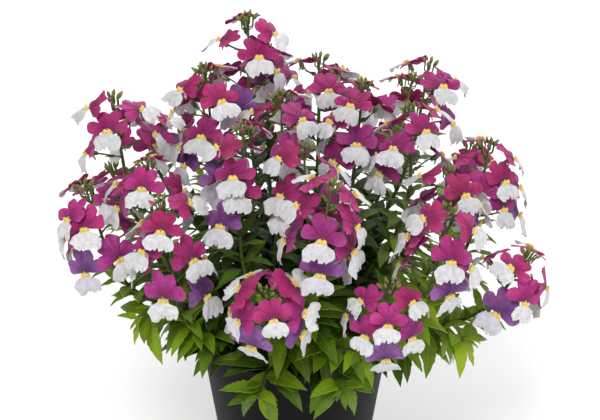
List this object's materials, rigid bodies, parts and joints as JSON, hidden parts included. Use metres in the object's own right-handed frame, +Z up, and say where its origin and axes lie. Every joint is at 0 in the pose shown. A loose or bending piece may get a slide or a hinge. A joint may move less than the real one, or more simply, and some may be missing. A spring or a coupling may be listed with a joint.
{
  "type": "potted nemesia",
  "caption": "Bushy nemesia with two-lipped flowers in heads on branching leafy stems, in a tapered plastic nursery pot filled with soil.",
  "frame": {"origin": "centre of the underside of the pot's floor, on the surface that the pot stands on", "axes": "+Z up along the pot's axis, -Y towards the side that the picture shows, +X to that side's right"},
  "size_m": [0.2797, 0.2773, 0.2921],
  "materials": {
    "pot_plastic": "satin",
    "potting_soil": "matte",
    "leaf_green": "matte",
    "petal_magenta": "matte"
  },
  "bodies": {
    "root": {"pot": "pot_plastic", "soil": "potting_soil", "leafy_stem_01": "leaf_green", "leafy_stem_02": "leaf_green", "leafy_stem_03": "leaf_green", "leafy_stem_04": "leaf_green", "leafy_stem_05": "leaf_green", "leafy_stem_06": "leaf_green", "leafy_stem_07": "leaf_green", "leafy_stem_08": "leaf_green", "leafy_stem_09": "leaf_green", "leafy_stem_10": "leaf_green", "leafy_stem_11": "leaf_green", "leafy_stem_12": "leaf_green", "leafy_stem_13": "leaf_green", "leafy_stem_14": "leaf_green", "leafy_stem_15": "leaf_green", "leafy_stem_16": "leaf_green", "leafy_shoot_01": "leaf_green", "leafy_shoot_02": "leaf_green", "leafy_shoot_03": "leaf_green", "leafy_shoot_04": "leaf_green", "leafy_shoot_05": "leaf_green", "leafy_shoot_06": "leaf_green", "leafy_shoot_07": "leaf_green", "flower_head_01": "petal_magenta", "flower_head_02": "petal_magenta", "flower_head_03": "petal_magenta", "flower_head_04": "petal_magenta", "flower_head_05": "petal_magenta", "flower_head_06": "petal_magenta", "flower_head_07": "petal_magenta", "flower_head_08": "petal_magenta", "flower_head_09": "petal_magenta", "flower_head_10": "petal_magenta", "flower_head_11": "petal_magenta", "flower_head_12": "petal_magenta", "flower_head_13": "petal_magenta", "flower_head_14": "petal_magenta", "flower_head_15": "petal_magenta", "flower_head_16": "petal_magenta", "flower_head_17": "petal_magenta", "flower_head_18": "petal_magenta", "flower_head_19": "petal_magenta", "flower_head_20": "petal_magenta", "flower_head_21": "petal_magenta", "flower_head_22": "petal_magenta", "flower_head_23": "petal_magenta", "flower_head_24": "petal_magenta", "flower_head_25": "petal_magenta", "flower_head_26": "petal_magenta", "flower_head_27": "petal_magenta", "flower_head_28": "petal_magenta", "flower_head_29": "petal_magenta", "flower_head_30": "petal_magenta"}
  },
  "joints": []
}
